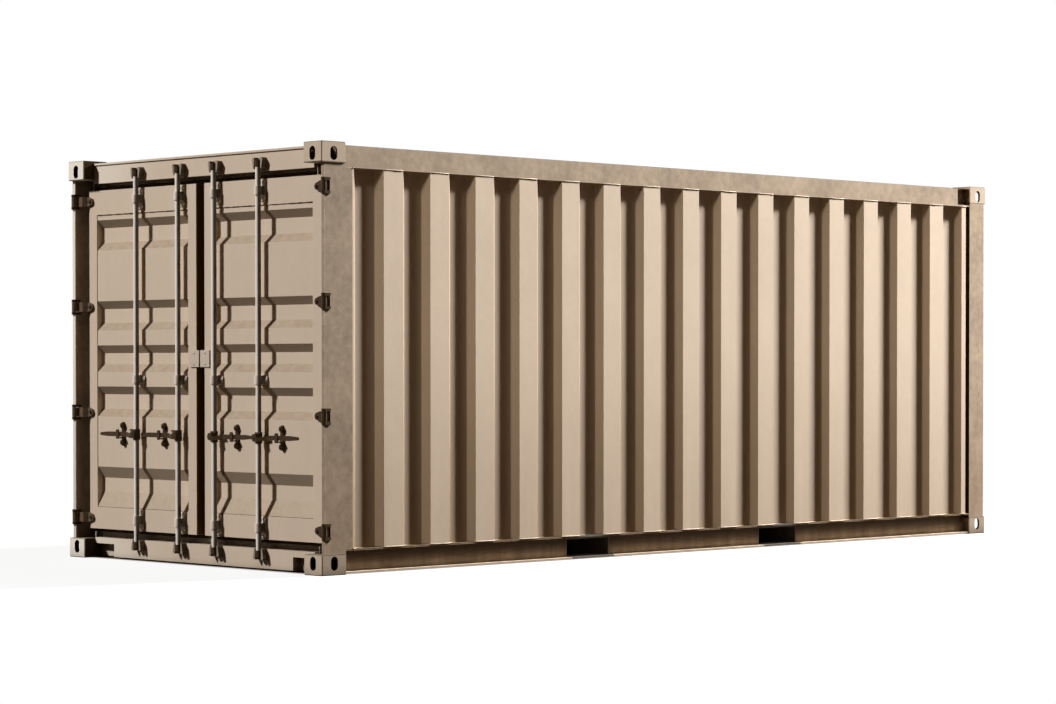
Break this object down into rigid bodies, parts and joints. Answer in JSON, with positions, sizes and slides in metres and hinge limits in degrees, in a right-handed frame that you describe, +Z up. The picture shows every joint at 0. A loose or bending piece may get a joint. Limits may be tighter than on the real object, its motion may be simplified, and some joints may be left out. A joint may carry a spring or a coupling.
{
  "type": "shipping container",
  "caption": "Steel shipping container with corrugated walls, corner castings, forklift pockets and hinged double doors locked by upright bars with cams and handles.",
  "frame": {"origin": "middle of the underside of the bottom corner castings", "axes": "+Z up, +Y along the length away from the doors, +X across the width"},
  "size_m": [2.438, 6.058, 2.438],
  "materials": {
    "castings": "matt weathered paint",
    "frame": "matt weathered paint",
    "walls": "matt paint",
    "doors": "matt paint",
    "gear": "dark worn steel",
    "bars": "worn galvanised steel",
    "rubber": "matt rubber",
    "wood": "worn plywood",
    "underframe": "dark underseal"
  },
  "bodies": {
    "container": {"bottom_corner_castings": "castings", "bottom_rails": "frame", "cross_members": "underframe", "door_header": "frame", "door_sill": "frame", "floor_boards": "wood", "forklift_pockets": "underframe", "front_header": "frame", "front_posts": "frame", "front_sill": "frame", "front_wall": "walls", "header_keepers": "gear", "hinge_lugs": "gear", "left_wall": "walls", "rear_posts": "frame", "right_wall": "walls", "roof": "walls", "sill_keepers": "gear", "top_corner_castings": "castings", "top_rails": "frame"},
    "left_door": {"left_door_frame": "doors", "left_door_panel": "doors", "left_door_gasket": "rubber", "left_hinge_blades": "gear", "left_bar_brackets": "gear", "left_handle_retainers": "gear", "left_centre_plate": "doors"},
    "left_inner_bar": {"left_inner_bar": "bars", "left_inner_bar_fittings": "gear"},
    "left_inner_handle": {"left_inner_handle": "gear"},
    "left_outer_bar": {"left_outer_bar": "bars", "left_outer_bar_fittings": "gear"},
    "left_outer_handle": {"left_outer_handle": "gear"},
    "right_door": {"right_door_frame": "doors", "right_door_panel": "doors", "right_door_gasket": "rubber", "right_hinge_blades": "gear", "right_bar_brackets": "gear", "right_handle_retainers": "gear", "right_centre_plate": "doors"},
    "right_inner_bar": {"right_inner_bar": "bars", "right_inner_bar_fittings": "gear"},
    "right_inner_handle": {"right_inner_handle": "gear"},
    "right_outer_bar": {"right_outer_bar": "bars", "right_outer_bar_fittings": "gear"},
    "right_outer_handle": {"right_outer_handle": "gear"}
  },
  "joints": [
    {"name": "left_door_swing", "type": "hinge", "parent": "container", "child": "left_door", "pos_m": [-1.202, -2.999, 1.218], "axis": [0, 0, -1], "range_deg": [0, 265]},
    {"name": "left_inner_bar_turn", "type": "hinge", "parent": "left_door", "child": "left_inner_bar", "pos_m": [-0.174, -2.979, 1.219], "axis": [0, 0, -1], "range_deg": [-100, 0]},
    {"name": "left_inner_handle_lift", "type": "hinge", "parent": "left_inner_bar", "child": "left_inner_handle", "pos_m": [-0.174, -3.008, 0.76491], "axis": [0, 1, 0], "range_deg": [0, 20]},
    {"name": "left_outer_bar_turn", "type": "hinge", "parent": "left_door", "child": "left_outer_bar", "pos_m": [-0.589, -2.979, 1.219], "axis": [0, 0, -1], "range_deg": [-100, 0]},
    {"name": "left_outer_handle_lift", "type": "hinge", "parent": "left_outer_bar", "child": "left_outer_handle", "pos_m": [-0.589, -3.008, 0.76491], "axis": [0, 1, 0], "range_deg": [0, 20]},
    {"name": "right_door_swing", "type": "hinge", "parent": "container", "child": "right_door", "pos_m": [1.202, -2.999, 1.218], "axis": [0, 0, 1], "range_deg": [0, 265]},
    {"name": "right_inner_bar_turn", "type": "hinge", "parent": "right_door", "child": "right_inner_bar", "pos_m": [0.174, -2.979, 1.219], "axis": [0, 0, 1], "range_deg": [-100, 0]},
    {"name": "right_inner_handle_lift", "type": "hinge", "parent": "right_inner_bar", "child": "right_inner_handle", "pos_m": [0.174, -3.008, 0.76491], "axis": [0, -1, 0], "range_deg": [0, 20]},
    {"name": "right_outer_bar_turn", "type": "hinge", "parent": "right_door", "child": "right_outer_bar", "pos_m": [0.589, -2.979, 1.219], "axis": [0, 0, 1], "range_deg": [-100, 0]},
    {"name": "right_outer_handle_lift", "type": "hinge", "parent": "right_outer_bar", "child": "right_outer_handle", "pos_m": [0.589, -3.008, 0.76491], "axis": [0, -1, 0], "range_deg": [0, 20]}
  ]
}
